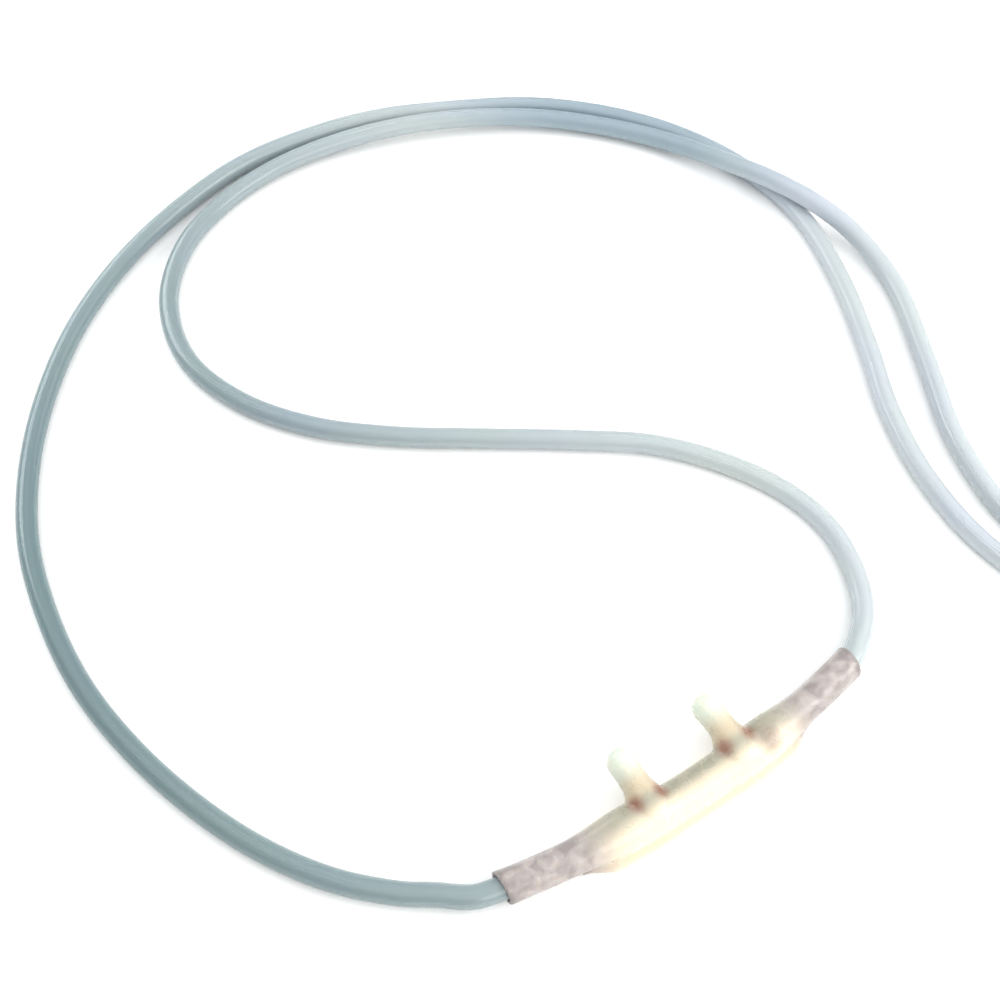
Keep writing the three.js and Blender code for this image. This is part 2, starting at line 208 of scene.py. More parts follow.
RIGHT_ROUTE = [
    (24, 1.7, 2.7), (34.5, 3.6, 2.7), (38.3, 5.7, 2.5), (41.8, 8.4, 2.2),
    (45, 12.4, 1.95), (47.7, 18.4, 1.95), (49.1, 25.9, 1.95), (47.9, 34.8, 1.95),
    (42.9, 45.7, 1.95), (34.2, 56.8, 1.95), (23.2, 65.3, 1.95), (9, 75.1, 1.95),
    (-5.1, 85, 1.95), (-16.3, 95.1, 1.95), (-24.6, 107.4, 1.95), (-28.4, 121.9, 1.95),
    (-24.9, 137, 1.95), (-15.4, 148.7, 1.95), (-3.3, 155.1, 1.95), (10.2, 157.9, 2.15),
    (24.7, 156.9, 2.7), (39.5, 152.8, 3.2), (53.3, 146.6, 3.2), (65.9, 138.5, 2.8),
    (76.6, 127.9, 2.7), (84, 116.8, 3.3), (88.6, 104.9, 5), (92.1, 94.8, 6.3),
    (95.5, 85.8, 5.8), (98.5, 76.8, 3.5), (97.4, 62.5, 2.05), (89.5, 44.5, 1.95),
    (80.9, 26.6, 1.95), (77.4, 7.8, 1.95), (81.2, -2.4, 2.2), (89.5, -8.9, 2.9),
    (99.5, -10.4, 3.5), (108.5, -10.4, 3.7), (128, -10.4, 3.7), (157, -10.4, 3.7),
]


def branch_tube(name, route):
    line = smooth_line(np.array(route) * MM, 1.2 * MM)
    tube = hollow_tube(name, line, BRANCH_RADIUS, [BRANCH_BORE] * ROUND_SIDES)
    print(f"{name}: {line_length(line):.3f} m, {len(tube.data.polygons)} faces")
    return tube, line


left_branch, left_line = branch_tube("left_branch", LEFT_ROUTE)
right_branch, right_line = branch_tube("right_branch", RIGHT_ROUTE)

# %% [markdown]
# ### The supply tube
# It is 5 mm thick and its bore is a star, so that a kink never closes it. The photograph
# shows none of it, so its 1.6 m are wound as they come in a bag: four turns inwards on
# the floor, then four turns outwards on top of them.
#
# A second-layer turn starts beside the first layer's last turn and climbs onto it. It
# rises just as fast as it has to for the two to stay one diameter apart.

# %% Supply tube
SUPPLY_RADIUS = 2.5 * MM
COIL_CENTRE = Vector((169.8, 37, 0)) * MM
COIL_INNER = 20 * MM
COIL_PITCH = 5.05 * MM
COIL_TURNS = 4
COIL_OUTER = COIL_INNER + COIL_PITCH * COIL_TURNS
TIE_ANGLE = math.radians(215)
TIE_LIFT = 0.5 * MM
LEAD_ROUTE = [
    (163, -13, 3.7), (172, -13, 3.7), (179, -13, 3.6), (186, -13, 3.2),
    (195.2, -11.2, 2.8), (203, -6, 2.5), (208.2, 1.8, 2.5), (210, 11, 2.5),
    (210, 24, 2.5), (210, 37, 2.5),
]
TAIL_ROUTE = [
    (210, 37, 7.55), (210, 44, 7.4), (210, 51, 6.9), (210, 57.8, 6.2),
    (210, 64, 5.6), (210, 72, 5.15), (210, 80, 5), (210, 90, 5),
]


def coil_line():
    """The line of the coil: inwards on the floor, then outwards on top."""
    turns = np.linspace(0, 2 * COIL_TURNS, 2 * COIL_TURNS * 90 + 1)
    out = np.abs(turns - COIL_TURNS)
    radius = COIL_INNER + COIL_PITCH * out
    angle = 2 * math.pi * turns
    climb = np.clip(turns - COIL_TURNS, 0, 0.5)
    rise = np.sqrt(np.maximum(0, 1 - (4 * climb - 1) ** 2 * (climb < 0.25)))
    rise = np.where(turns < COIL_TURNS, 0, np.sqrt(1 - (2 * climb - 1) ** 2 * (climb < 0.5)))
    rise = np.convolve(np.pad(rise, 8, "edge"), np.ones(17) / 17, "valid")
    from_tie = (angle - TIE_ANGLE + math.pi) % (2 * math.pi) - math.pi
    height = SUPPLY_RADIUS + COIL_PITCH * rise
    height = height + TIE_LIFT * np.exp(-((from_tie / math.radians(16)) ** 2))
    return np.stack([
        COIL_CENTRE.x + radius * np.cos(angle),
        COIL_CENTRE.y + radius * np.sin(angle),
        height,
    ], 1)


supply_line = even_line(np.vstack([
    smooth_line(np.array(LEAD_ROUTE) * MM, MM)[:-1],
    coil_line(),
    smooth_line(np.array(TAIL_ROUTE) * MM, MM)[1:],
]), 1.5 * MM)
star = [(1.62 + 0.24 * math.cos(5 * 2 * math.pi * k / 30)) * MM for k in range(30)]
supply_tube = hollow_tube("supply_hose", supply_line, SUPPLY_RADIUS, star)
print(f"supply_hose: {line_length(supply_line):.3f} m, {len(supply_tube.data.polygons)} faces")

# %% [markdown]
# ## Working by hand, without a hand
# The moulded pieces are modelled with the same tools that a person clicks. Two small
# helpers stand in for the mouse: one makes a piece the only one selected, and one picks
# points of it by their place. Another pushes a ring on, as Extrude and Scale do.

# %% Selecting
def clear_selection():
    if bpy.context.mode != "OBJECT":
        bpy.ops.object.mode_set(mode="OBJECT")
    bpy.ops.object.select_all(action="DESELECT")


def pick(piece):
    """Makes a piece the active and only selected one."""
    clear_selection()
    piece.select_set(True)
    bpy.context.view_layer.objects.active = piece


def pick_points(piece, test):
    """In edit mode, selects the points whose place passes a test."""
    shape = bmesh.from_edit_mesh(piece.data)
    for part in (*shape.faces, *shape.edges, *shape.verts):
        part.select = False
    for point in shape.verts:
        point.select = bool(test(point.co))
    shape.select_flush(True)
    bmesh.update_edit_mesh(piece.data)


def pick_faces(piece, test):
    """In edit mode, selects the faces that pass a test."""
    bpy.ops.mesh.select_mode(type="FACE")
    shape = bmesh.from_edit_mesh(piece.data)
    for part in (*shape.verts, *shape.edges, *shape.faces):
        part.select = False
    for face in shape.faces:
        if test(face):
            face.select_set(True)
    bmesh.update_edit_mesh(piece.data)


# %% Drawing out a solid ring by ring
def first_ring(name, place, size, facing, sides):
    """A filled circle at its place, left in edit mode, to be drawn out into a solid."""
    clear_selection()
    bpy.ops.mesh.primitive_circle_add(
        vertices=sides, radius=1, fill_type="NGON", location=place, rotation=facing
    )
    piece = bpy.context.object
    piece.name = piece.data.name = name
    bpy.ops.object.transform_apply(location=True, rotation=True, scale=True)
    bpy.ops.object.mode_set(mode="EDIT")
    bpy.ops.mesh.select_all(action="SELECT")
    bpy.ops.transform.resize(value=size, center_override=place)
    return piece


def next_ring(start, place, growth, tilt=0.0):
    """Extrudes the selected ring to its next place, scales it, and tilts it about X."""
    move = Vector(place) - Vector(start)
    bpy.ops.mesh.extrude_region_move(TRANSFORM_OT_translate={"value": move})
    bpy.ops.transform.resize(value=growth, center_override=place)
    if tilt:
        bpy.ops.transform.rotate(value=-tilt, orient_axis="X", center_override=place)


def close_solid():
    """Ends a drawing: every face points out, and edit mode is left."""
    bpy.ops.mesh.select_all(action="SELECT")
    bpy.ops.mesh.remove_doubles(threshold=MM / 100)
    bpy.ops.mesh.normals_make_consistent(inside=False)
    bpy.ops.object.mode_set(mode="OBJECT")


def draw_along_x(name, stations, sides=32):
    """A solid along X. A station is a centre, a half width and a half height."""
    place, wide, high = stations[0]
    piece = first_ring(name, place, (1, wide, high), (0, math.pi / 2, 0), sides)
    for before, after in zip(stations, stations[1:]):
        growth = (1, after[1] / before[1], after[2] / before[2])
        next_ring(before[0], after[0], growth)
    close_solid()
    return piece


# %% Joining and cutting
def use_modifier(piece, kind, **settings):
    """Adds a modifier, sets it and applies it."""
    pick(piece)
    bpy.ops.object.modifier_add(type=kind)
    modifier = piece.modifiers[-1]
    for setting, value in settings.items():
        setattr(modifier, setting, value)
    bpy.ops.object.modifier_apply(modifier=modifier.name)


def combine(piece, others, operation):
    """Adds other solids to a piece or cuts them from it, and removes them."""
    for other in others:
        use_modifier(piece, "BOOLEAN", operation=operation, object=other, solver="EXACT")
        bpy.data.objects.remove(other)


# %% [markdown]
# ## The nosepiece
# The real nosepiece is dipped from soft vinyl in one piece: a bowed body with a flat
# underside for the lip, a thin lip in front, a socket at each end and two curved prongs.
# Every corner is rounded, as dipping leaves no edge.
#
# Subdivision modelling could give it, but four shapes meet in it at odd angles. It is
# easier to draw each as a simple solid, join them, cut the gas passages, and then melt
# the whole with a voxel remesh and a smoothing, which rounds every join like real vinyl.

# %% Nosepiece sizes
BOW = 3.0
SOCKET_END = 34.5 * MM
SOCKET_DEPTH = 10.5 * MM
SOCKET_RADIUS = 2.75 * MM
SOCKET_HEIGHT = 2.7 * MM
WAIST_RADIUS = 3.3 * MM
SHOULDER_RADIUS = 3.6 * MM
FLAT_SINK = 0.35 * MM
LIP_REACH = 1.0 * MM
PRONG_SPACING = 17.2 * MM


def blend(low, high, start, stop, value):
    """Goes smoothly from low to high while value goes from start to stop."""
    share = min(1, max(0, (value - start) / (stop - start)))
    return low + (high - low) * share * share * (3 - 2 * share)


def body_place(x, z):
    return (x, BOW * x * x, z)


# %% Nosepiece body
def body_station(x):
    out = abs(x) / MM
    radius = blend(WAIST_RADIUS, SHOULDER_RADIUS, 4, 9, out)
    radius = blend(radius, SOCKET_RADIUS, 13, 24, out)
    height = blend(radius - FLAT_SINK, SOCKET_HEIGHT, 13, 24, out)
    flare = blend(0, 0.12 * MM, 32, 34.5, out)
    return body_place(x, height), radius + flare, radius + flare


body_stations = [body_station(x * MM) for x in np.linspace(-34.5, 34.5, 47)]
nosepiece = draw_along_x("soft_nosepiece_visual", body_stations, sides=40)
print("body:", len(nosepiece.data.polygons), "faces")

# %% [markdown]
# The lip is a thin strip in front of the body. It is drawn the same way, with a flat
# ring, and its ends run out into the body.

# %% Nosepiece lip
def lip_station(x):
    out = abs(x) / MM
    half_width = blend(3.2 * MM, 1.6 * MM, 17, 22.5, out)
    thickness = blend(0.55 * MM, 0.3 * MM, 17, 22.5, out)
    front = blend(WAIST_RADIUS, SHOULDER_RADIUS, 4, 9, out) + LIP_REACH
    front = blend(front, 2.6 * MM, 17, 22.5, out)
    centre = (x, BOW * x * x - front + half_width, 0.45 * MM)
    return centre, half_width, thickness


lip = draw_along_x("lip", [lip_station(x * MM) for x in np.linspace(-22.5, 22.5, 31)])

# %% [markdown]
# A prong leaves the body obliquely, bends down towards the nostril and ends in a rounded
# tip. Its rings tilt as it bends, and it flares at its root to make a soft fillet.

# %% Prongs
def prong_points(x):
    """A prong's line as a quadratic Bezier curve, with its slope at each point."""
    root = np.array((x, BOW * x * x, 3.2 * MM))
    aim = np.array((x, 4.8 * MM, 6.6 * MM))
    tip = np.array((x - math.copysign(0.3 * MM, x), 10.9 * MM, 5.6 * MM))
    found = []
    for t in np.linspace(0, 1, 21):
        place = root * (1 - t) ** 2 + aim * 2 * t * (1 - t) + tip * t * t
        ahead = (aim - root) * (1 - t) + (tip - aim) * t
        found.append((t, place, math.atan2(ahead[2], ahead[1])))
    return found


def prong_radius(t):
    radius = blend(3.9 * MM, 3.2 * MM, 0.12, 0.28, t)
    radius = blend(radius, 2.35 * MM, 0.24, 0.5, t)
    radius = blend(radius, 2.45 * MM, 0.6, 0.85, t)
    return radius * math.sqrt(max(0.45, 1 - max(0, (t - 0.86) / 0.17) ** 2))


def draw_prong(name, points, radius_at, sides=28):
    t, place, slope = points[0]
    size = (radius_at(t),) * 3
    piece = first_ring(name, tuple(place), size, (slope - math.pi / 2, 0, 0), sides)
    for before, after in zip(points, points[1:]):
        growth = (radius_at(after[0]) / radius_at(before[0]),) * 3
        next_ring(before[1], tuple(after[1]), growth, after[2] - before[2])
    close_solid()
    return piece


def bore_points(x):
    """The prong's line again, carried on past its tip so that the hole opens there."""
    points = prong_points(x)
    t, place, slope = points[-1]
    for past in (0.3, 1.2):
        step = np.array((0, math.cos(slope), math.sin(slope))) * past * MM
        points = [*points, (t + past, place + step, slope)]
    return points


def bore_radius(t):
    return blend(1.35 * MM, 1.9 * MM, 0.96, 1.5, t)


prongs = [draw_prong("prong", prong_points(s * PRONG_SPACING / 2), prong_radius) for s in (-1, 1)]
combine(nosepiece, [lip, *prongs], "UNION")
print("joined nosepiece:", len(nosepiece.data.polygons), "faces")

# %% [markdown]
# The flat underside comes from one Bisect at floor height, and the passages from
# cutting away solids of their size: a bowed channel, two sockets and the prongs' bores.

# %% Flat underside and passages
pick(nosepiece)
bpy.ops.object.mode_set(mode="EDIT")
bpy.ops.mesh.select_all(action="SELECT")
bpy.ops.mesh.bisect(plane_co=(0, 0, 0), plane_no=(0, 0, 1), clear_inner=True, use_fill=True)
bpy.ops.object.mode_set(mode="OBJECT")


def passage(start, stop, radius, rings):
    places = np.linspace(start, stop, rings)
    return draw_along_x(
        "passage", [(body_place(x, SOCKET_HEIGHT), radius, radius) for x in places]
    )


inner = SOCKET_END - SOCKET_DEPTH
past = SOCKET_END + MM
cuts = [
    passage(-inner - MM / 2, inner + MM / 2, 1.6 * MM, 25),
    passage(-past, -inner, 2.2 * MM, 5),
    passage(inner, past, 2.2 * MM, 5),
    *(draw_prong("bore", bore_points(s * PRONG_SPACING / 2), bore_radius) for s in (-1, 1)),
]
combine(nosepiece, cuts, "DIFFERENCE")

# %% Melting it into one soft form
use_modifier(nosepiece, "REMESH", mode="VOXEL", voxel_size=0.22 * MM)
use_modifier(nosepiece, "SMOOTH", factor=0.5, iterations=8)
nosepiece.data.shade_smooth()
print("nosepiece:", len(nosepiece.data.polygons), "faces")

# %% [markdown]
# ## The slide adjuster
# A small clear ring of oval section that slides along both tubes and snugs the loop under
# the chin. It has a ribbed grip, so the ring is drawn out along X with its size going up
# and down, and two holes are cut through it.

# %% Oval sleeves
PAIR_Y = -13 * MM
PAIR_HEIGHT = 3.7 * MM
HALF_SPACING = 2.6 * MM
HOLE_RADIUS = 2.2 * MM


def draw_sleeve(name, stations, sides=48):
    """An oval solid along X. A station is an X, half the oval's spacing and a radius."""
    x, spacing, radius = stations[0]
    place = (x, PAIR_Y, PAIR_HEIGHT)
    piece = first_ring(name, place, (1, radius, radius), (0, math.pi / 2, 0), sides)
    part_ring(piece, x, spacing)
    for before, after in zip(stations, stations[1:]):
        start, place = ((s[0], PAIR_Y, PAIR_HEIGHT) for s in (before, after))
        next_ring(start, place, (1, 1, 1))
        part_ring(piece, after[0], -before[1])
        growth = after[2] / before[2]
        bpy.ops.transform.resize(value=(1, growth, growth), center_override=place)
        part_ring(piece, after[0], after[1])
    close_solid()
    return piece


def part_ring(piece, x, spacing):
    """Moves the two halves of the ring at x apart, and selects the whole ring again."""
    for side in (-1, 1):
        pick_half_ring(piece, x, side)
        bpy.ops.transform.translate(value=(0, side * spacing, 0))
    bpy.ops.mesh.select_mode(type="VERT")
    pick_points(piece, lambda place: abs(place.x - x) < MM / 1000)


def pick_half_ring(piece, x, side):
    bpy.ops.mesh.select_mode(type="VERT")
    pick_points(
        piece,
        lambda place: abs(place.x - x) < MM / 1000 and (place.y - PAIR_Y) * side > MM / 1000,
    )


def rod(start, stop, radius, sides=32):
    """A plain round rod between two points, to cut a hole with."""
    start, stop = Vector(start), Vector(stop)
    clear_selection()
    bpy.ops.mesh.primitive_cylinder_add(
        vertices=sides, radius=radius, depth=(stop - start).length,
        location=(start + stop) / 2,
        rotation=(stop - start).to_track_quat("Z", "Y").to_euler(),
    )
    bpy.ops.object.transform_apply(location=True, rotation=True, scale=True)
    return bpy.context.object


def pair_of_rods(start, stop, radius, squeeze=1.0):
    return [
        rod((start, PAIR_Y + side * HALF_SPACING, PAIR_HEIGHT),
            (stop, PAIR_Y + side * HALF_SPACING * squeeze, PAIR_HEIGHT), radius)
        for side in (-1, 1)
    ]


# %% Slide adjuster
ADJUSTER_START = 133 * MM
SLEEVE_RADIUS = 3.1 * MM
grip = [(0, 2.8), (0.25, 2.98), (0.6, 3.05), (2.2, 3.05)]
for ridge in range(5):
    start = 2.5 + 1.5 * ridge
    grip += [(start, 2.78), (start + 0.35, 2.78), (start + 0.65, 3.1), (start + 1.05, 3.1)]
grip += [(9.95, 2.9), (10.3, 3.05), (11.4, 3.05), (11.75, 2.98), (12, 2.8)]
adjuster = draw_sleeve("grip_slider", [
    (ADJUSTER_START + x * MM, HALF_SPACING, radius * MM) for x, radius in grip
])
combine(adjuster, pair_of_rods(132 * MM, 146 * MM, HOLE_RADIUS), "DIFFERENCE")
use_modifier(adjuster, "BEVEL", width=0.12 * MM, segments=2, limit_method="ANGLE",
             angle_limit=math.radians(40))
pick(adjuster)
bpy.ops.object.shade_smooth_by_angle(angle=math.radians(35))
print("adjuster:", len(adjuster.data.polygons), "faces")

# %% [markdown]
# ## The Y connector
# It joins the two thin tubes to the thick one. Its section goes from the same oval to
# nearly a circle, and its sockets are cut from both ends with narrow passages between
# them. A thin raised collar at each end is where the mould leaves its strongest edge.

# %% Y connector
CONNECTOR_START = 148 * MM
yoke = [
    (0, 2.6, 2.85), (0.25, 2.6, 3.02), (0.6, 2.6, 3.1), (1.6, 2.6, 3.1), (1.9, 2.6, 2.95),
    (5, 2.6, 2.95), (8.6, 2.6, 2.95), (10, 2.3, 3.0), (11.5, 1.6, 3.2), (13, 0.9, 3.42),
    (14.3, 0.55, 3.55), (15.5, 0.4, 3.55), (19, 0.33, 3.55), (22, 0.33, 3.55),
    (22.3, 0.33, 3.7), (23.4, 0.33, 3.7), (23.75, 0.33, 3.62), (24, 0.33, 3.45),
]
y_piece = draw_sleeve("y_yoke", [
    (CONNECTOR_START + x * MM, spacing * MM, radius * MM) for x, spacing, radius in yoke
])
axis_start, axis_stop = ((x * MM, PAIR_Y, PAIR_HEIGHT) for x in (162.7, 173))
combine(y_piece, [
    *pair_of_rods(147 * MM, 157.3 * MM, HOLE_RADIUS),
    *pair_of_rods(156 * MM, 163.5 * MM, 1.3 * MM, squeeze=0.25),
    rod(axis_start, axis_stop, 2.8 * MM),
], "DIFFERENCE")
use_modifier(y_piece, "BEVEL", width=0.12 * MM, segments=2, limit_method="ANGLE",
             angle_limit=math.radians(40))
pick(y_piece)
bpy.ops.object.shade_smooth_by_angle(angle=math.radians(35))
print("Y connector:", len(y_piece.data.polygons), "faces")

# %% [markdown]
# ## The funnel end
# A soft tapered funnel that pushes onto the barbed outlet of the oxygen source. Fingers
# grip it by twelve ribs. It is drawn along Y like the others, and the ribs are every
# fourth column of faces, extruded and scaled away from the axis.

# %% Funnel
FUNNEL_AXIS = (210 * MM, 5 * MM)
FUNNEL_START = 80 * MM
funnel_profile = [
    (0, 3.35), (0.3, 3.65), (0.8, 3.8), (6, 3.8), (11, 3.8), (13.5, 3.85), (16, 4.0),
    (24, 4.0), (26, 4.1), (28, 4.45), (30, 4.8), (31.6, 4.86), (32, 5.0), (33.3, 5.0),
    (33.8, 4.85), (34, 4.6),
]


def funnel_place(y):
    return (FUNNEL_AXIS[0], FUNNEL_START + y * MM, FUNNEL_AXIS[1])


def draw_along_y(name, profile, sides=48):
    """A round solid along the funnel's axis. A station is a distance and a radius."""
    y, radius = profile[0]
    place = funnel_place(y)
    piece = first_ring(name, place, (radius * MM,) * 3, (-math.pi / 2, 0, 0), sides)
    for before, after in zip(profile, profile[1:]):
        growth = (after[1] / before[1],) * 3
        next_ring(funnel_place(before[0]), funnel_place(after[0]), growth)
    close_solid()
    return piece


def in_rib(face):
    """Whether a side face is in every fourth column and in the grip's length."""
    centre = face.calc_center_median()
    turn = math.atan2(centre.z - FUNNEL_AXIS[1], centre.x - FUNNEL_AXIS[0])
    column = int(turn / (2 * math.pi) * 48 // 1)
    along = (centre.y - FUNNEL_START) / MM
    return 13.6 < along < 26 and column % 4 == 0 and abs(face.normal.y) < 0.5


funnel = draw_along_y("ribbed_funnel", funnel_profile)
pick(funnel)
bpy.ops.object.mode_set(mode="EDIT")
pick_faces(funnel, in_rib)
bpy.ops.mesh.extrude_region_move(TRANSFORM_OT_translate={"value": (0, 0, 0)})
bpy.ops.transform.resize(value=(1.07, 1, 1.07), center_override=funnel_place(20))
bpy.ops.mesh.select_mode(type="VERT")
close_solid()
bore = draw_along_y("bore", [(20, 3.3), (33.2, 3.6), (34.3, 3.95), (35, 4.1)], 36)
combine(funnel, [
    rod(funnel_place(-1), funnel_place(10.3), 2.8 * MM),
    rod(funnel_place(9.8), funnel_place(20.5), 1.3 * MM, 24),
    bore,
], "DIFFERENCE")
use_modifier(funnel, "BEVEL", width=0.1 * MM, segments=2, limit_method="ANGLE",
             angle_limit=math.radians(40))
pick(funnel)
bpy.ops.object.shade_smooth_by_angle(angle=math.radians(35))
print("funnel:", len(funnel.data.polygons), "faces")

# %% [markdown]
# ## The tie round the coil
# A flat, plastic-covered wire holds the coil as it was packed. A box of the coil's
# section has its long edges beveled, its two end faces removed and a wall added by
# Solidify. The twisted ends are a strip turned by a Simple Deform modifier.

# %% Coil tie
TIE_WIDTH = 3.4 * MM
TIE_THICKNESS = 0.4 * MM
tie_radius = (COIL_INNER + COIL_OUTER) / 2
tie_length = COIL_OUTER - COIL_INNER + 2 * SUPPLY_RADIUS + 0.9 * MM
tie_height = COIL_PITCH + 2 * SUPPLY_RADIUS + 0.3 * MM
clear_selection()
bpy.ops.mesh.primitive_cube_add(size=1, location=(tie_radius, 0, TIE_LIFT + tie_height / 2))
tie = bpy.context.object
tie.name = tie.data.name = "coil_tie"
tie.scale = (tie_length, TIE_WIDTH, tie_height)
bpy.ops.object.transform_apply(location=True, rotation=True, scale=True)
bpy.ops.object.mode_set(mode="EDIT")
pick_faces(tie, lambda face: abs(face.normal.y) > 0.5)
bpy.ops.mesh.delete(type="FACE")
bpy.ops.mesh.select_mode(type="EDGE")
shape = bmesh.from_edit_mesh(tie.data)
for edge in shape.edges:
    first, second = edge.verts
    edge.select_set(abs(first.co.y - second.co.y) > TIE_WIDTH / 2)
bmesh.update_edit_mesh(tie.data)
bpy.ops.mesh.bevel(offset=2.4 * MM, segments=8, affect="EDGES")
bpy.ops.object.mode_set(mode="OBJECT")
use_modifier(tie, "SOLIDIFY", thickness=TIE_THICKNESS, offset=1)

# %% The tie's twisted ends, laid over the coil
clear_selection()
bpy.ops.mesh.primitive_cube_add(size=1)
twist = bpy.context.object
twist.scale = (13 * MM, TIE_WIDTH * 0.5, TIE_THICKNESS * 2)
bpy.ops.object.transform_apply(location=True, rotation=True, scale=True)
bpy.ops.object.mode_set(mode="EDIT")
bpy.ops.mesh.select_all(action="SELECT")
bpy.ops.mesh.subdivide(number_cuts=5)
for cut in np.linspace(-6.2, 6.2, 32):
    bpy.ops.mesh.select_all(action="SELECT")
    bpy.ops.mesh.bisect(plane_co=(cut * MM, 0, 0), plane_no=(1, 0, 0))
bpy.ops.object.mode_set(mode="OBJECT")
use_modifier(twist, "SIMPLE_DEFORM", deform_method="TWIST", deform_axis="X",
             angle=math.radians(1080))
twist.location = (tie_radius + 3 * MM, 7.2 * MM, TIE_LIFT + tie_height + 1.6 * MM)
twist.rotation_euler = (0, 0, math.radians(78))
pick(twist)
bpy.ops.object.transform_apply(location=True, rotation=True, scale=True)
pick(tie)
twist.select_set(True)
bpy.ops.object.join()
tie.rotation_euler = (0, 0, TIE_ANGLE)
tie.location = COIL_CENTRE
bpy.ops.object.transform_apply(location=True, rotation=True, scale=True)
use_modifier(tie, "BEVEL", width=0.08 * MM, segments=2, limit_method="ANGLE",
             angle_limit=math.radians(50))
pick(tie)
bpy.ops.object.shade_smooth_by_angle(angle=math.radians(40))
print("tie:", len(tie.data.polygons), "faces")

# %% [markdown]
# ## Finishes
# All of it is clear or milky vinyl, and the difference is in how milky, how tinted and
# how glossy each piece is. One helper writes nodes in a short way, and effects that more
# than one finish uses are node groups.

# %% Node helpers
def add_node(tree, kind, settings=(), **inputs):
    """A node with its settings. An input is a value or another node's output."""
    made = tree.nodes.new(kind)
    for setting, value in dict(settings).items():
        setattr(made, setting, value)
    for name, value in inputs.items():
        join(tree, value, made.inputs[name.replace("_", " ")])
    return made


def join(tree, value, socket):
    if isinstance(value, bpy.types.NodeSocket):
        tree.links.new(value, socket)
    else:
        socket.default_value = value


def mix_colours(tree, factor, first, second):
    mix = add_node(tree, "ShaderNodeMix", {"data_type": "RGBA"})
    for slot, value in ((0, factor), (6, first), (7, second)):
        join(tree, value, mix.inputs[slot])
    return mix.outputs[2]


def remap(tree, value, low, high, to_low, to_high):
    made = add_node(tree, "ShaderNodeMapRange", {"interpolation_type": "SMOOTHSTEP"})
    for name, setting in (
        ("Value", value), ("From Min", low), ("From Max", high),
        ("To Min", to_low), ("To Max", to_high),
    ):
        join(tree, setting, made.inputs[name])
    return made.outputs[0]


def colour(red, green, blue):
    """A colour from the 0 to 255 numbers of a paint program."""
    return (*(((c / 255 + 0.055) / 1.055) ** 2.4 for c in (red, green, blue)), 1)


def new_finish(name):
    made = bpy.data.materials.new(name)
    made.use_nodes = True
    tree = made.node_tree
    return made, tree, tree.nodes["Principled BSDF"]


# %% [markdown]
# ### Extrusion marks
# A tube comes out of its die with very fine lines along it, and its tint drifts slowly
# over its length. Both need noise that follows the tube, so the group takes the place
# on the tube that each point was given, and stretches it.

# %% Group: extrusion marks
def group_with(name, inputs, outputs):
    made = bpy.data.node_groups.new(name, "ShaderNodeTree")
    for socket, kind, value in inputs:
        added = made.interface.new_socket(socket, in_out="INPUT", socket_type=kind)
        if value is not None:
            added.default_value = value
    for socket in outputs:
        made.interface.new_socket(socket, in_out="OUTPUT", socket_type="NodeSocketFloat")
    return made, made.nodes.new("NodeGroupInput"), made.nodes.new("NodeGroupOutput")


extrusion, given, put = group_with(
    "extrusion_marks",
    [("Place", "NodeSocketVector", None), ("Line Density", "NodeSocketFloat", 900.0)],
    ["Lines", "Drift"],
)
stretched = add_node(extrusion, "ShaderNodeMapping", Vector=given.outputs["Place"],
                     Scale=(1, 1, 0.02))
lines = add_node(extrusion, "ShaderNodeTexNoise", Vector=stretched.outputs[0],
                 Scale=given.outputs["Line Density"], Detail=2.0, Roughness=0.6)
slow = add_node(extrusion, "ShaderNodeMapping", Vector=given.outputs["Place"],
                Scale=(1, 1, 0.35))
drift = add_node(extrusion, "ShaderNodeTexNoise", Vector=slow.outputs[0], Scale=70.0,
                 Detail=2.0, Roughness=0.5)
extrusion.links.new(lines.outputs[0], put.inputs["Lines"])
extrusion.links.new(remap(extrusion, drift.outputs[0], 0.32, 0.68, 0.0, 1.0), put.inputs["Drift"])

# %% [markdown]
# ### Moulding haze
# Moulded and dipped vinyl is never even: it has clouds where it cooled slowly and a very
# fine orange-peel surface.

# %% Group: moulding haze
haze_group, given, put = group_with(
    "moulding_haze",
    [("Place", "NodeSocketVector", None), ("Cloud Scale", "NodeSocketFloat", 200.0),
     ("Peel Scale", "NodeSocketFloat", 2500.0)],
    ["Clouds", "Peel"],
)
clouds = add_node(haze_group, "ShaderNodeTexNoise", Vector=given.outputs["Place"],
                  Scale=given.outputs["Cloud Scale"], Detail=3.0, Distortion=0.6)
peel = add_node(haze_group, "ShaderNodeTexNoise", Vector=given.outputs["Place"],
                Scale=given.outputs["Peel Scale"], Detail=1.0)
haze_group.links.new(remap(haze_group, clouds.outputs[0], 0.35, 0.65, 0.0, 1.0), put.inputs["Clouds"])
haze_group.links.new(peel.outputs[0], put.inputs["Peel"])


def use_group(tree, group, **inputs):
    made = tree.nodes.new("ShaderNodeGroup")
    made.node_tree = group
    for name, value in inputs.items():
        join(tree, value, made.inputs[name.replace("_", " ")])
    return made


# %% [markdown]
# ### Tube vinyl
# The vinyl is a little milky, so it is part transmission and part soft scattering. Its
# tint drifts between grey-green and a cooler blue along each tube. Over the whole loop a
# painted shade darkens it to a deep grey-teal at the left, and painted light clears it
# at the right, where the light is stronger.

# %% Finish: tubes
# The span over which the painted shade at the left gives way to painted light at the right.
SHADE_TO_LIGHT_SPAN = (-122 * MM, 62 * MM)
BLUE_BEND = (78 * MM, 128 * MM, 0)
BEND_BLUE = colour(164, 184, 196)


